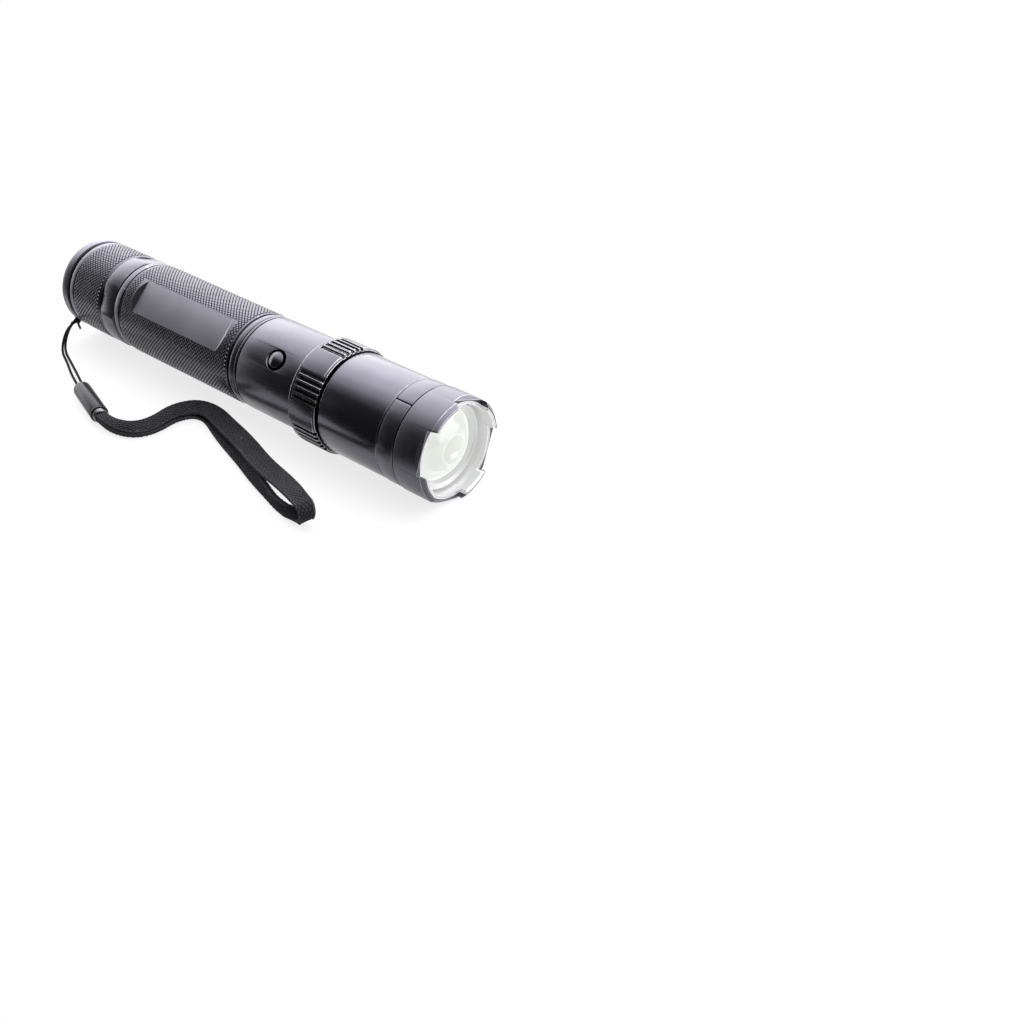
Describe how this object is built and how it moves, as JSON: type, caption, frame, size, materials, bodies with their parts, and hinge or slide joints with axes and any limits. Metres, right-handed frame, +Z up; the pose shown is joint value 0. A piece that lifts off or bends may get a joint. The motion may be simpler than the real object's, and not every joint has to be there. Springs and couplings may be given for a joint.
{
  "type": "tactical flashlight",
  "caption": "Black aluminium zoom flashlight with knurled grip, side push button, ribbed focus ring, scalloped bezel and braided wrist lanyard.",
  "frame": {"origin": "middle of the tube's length, on the surface that the flashlight lies on, measured without the lanyard cord and strap", "axes": "+X along the tube towards the beam, +Z up, the button and milled flat face -Y and up, the lanyard lies on the -Y side"},
  "size_m": [0.1564, 0.0581, 0.031],
  "materials": {
    "anodised_knurl": "black hard-anodised aluminium, diamond knurled, satin",
    "anodised_black": "black hard-anodised aluminium, satin",
    "anodised_gloss": "black anodised aluminium, semi-gloss",
    "button_metal": "black anodised push button, semi-gloss",
    "polished_trim": "polished bright metal",
    "nickel": "nickel-plated, semi-bright",
    "spring_steel": "plated spring wire",
    "brass_pill": "machined brass",
    "lens_glass": "clear polished lens",
    "led_phosphor": "phosphor under a clear dome",
    "circuit_board": "glass-epoxy board, green mask",
    "moulded_plastic": "black moulded nylon",
    "white_plastic": "white moulded plastic",
    "cell_wrap": "shrink wrap on a steel can",
    "seal_rubber": "black nitrile rubber",
    "lanyard_cord": "thin black braided nylon cord",
    "connector_plastic": "black moulded plastic, satin",
    "webbing": "black braided nylon strap"
  },
  "bodies": {
    "housing": {"battery_tube": "anodised_knurl", "anti_roll_ring": "anodised_black", "tail_o_ring": "seal_rubber", "battery_sleeve": "moulded_plastic", "battery_cell": "cell_wrap", "battery_positive_cap": "nickel", "switch_housing": "anodised_black", "housing_o_ring": "seal_rubber", "switch_carrier": "moulded_plastic", "switch_board": "circuit_board", "tactile_switch": "moulded_plastic", "driver_board": "circuit_board", "driver_spring": "spring_steel", "led_pill": "brass_pill", "led_board": "circuit_board", "led_emitter": "led_phosphor", "led_centring_ring": "white_plastic", "head_tube": "anodised_gloss", "head_band": "anodised_black", "bezel": "anodised_black", "bezel_trim_ring": "polished_trim", "bezel_o_ring": "seal_rubber"},
    "button": {"button_cap": "button_metal"},
    "focus_ring": {"focus_ring": "anodised_black"},
    "lens_group": {"lens_carrier": "anodised_black", "lens": "lens_glass", "lens_retaining_ring": "polished_trim", "cam_pins": "spring_steel"},
    "lanyard": {"lanyard_ring": "anodised_gloss", "lanyard_hitch": "lanyard_cord", "lanyard_strand_a": "lanyard_cord", "lanyard_strand_b": "lanyard_cord", "lanyard_connector": "connector_plastic", "lanyard_ferrule": "nickel", "wrist_strap": "webbing"},
    "tail_cap": {"tail_cap": "anodised_knurl", "tail_plug": "anodised_black", "tail_contact_board": "circuit_board", "tail_spring": "spring_steel"}
  },
  "joints": [
    {"name": "button_press", "type": "slide", "parent": "housing", "child": "button", "axis": [0, 0.6756, -0.7373], "range_m": [0, 0.001], "stiffness_N_per_m": 300, "springref_m": -0.001},
    {"name": "focus_turn", "type": "hinge", "parent": "housing", "child": "focus_ring", "pos_m": [0.0332, 0, 0.0155], "axis": [1, 0, 0], "range_deg": [0, 90]},
    {"name": "lens_travel", "type": "slide", "parent": "housing", "child": "lens_group", "axis": [-1, 0, 0], "range_m": [0, 0.00501]},
    {"name": "tail_cap_travel", "type": "slide", "parent": "housing", "child": "lanyard", "axis": [-1, 0, 0], "range_m": [0, 0.00751]},
    {"name": "tail_cap_turn", "type": "hinge", "parent": "lanyard", "child": "tail_cap", "pos_m": [-0.0742, 0, 0.0155], "axis": [-1, 0, 0], "range_deg": [0, 1800]}
  ],
  "couplings": [
    {"joint": "lens_travel", "follows": "focus_turn", "m_per_rad": 0.0031831},
    {"joint": "tail_cap_travel", "follows": "tail_cap_turn", "m_per_rad": 0.00023873}
  ]
}
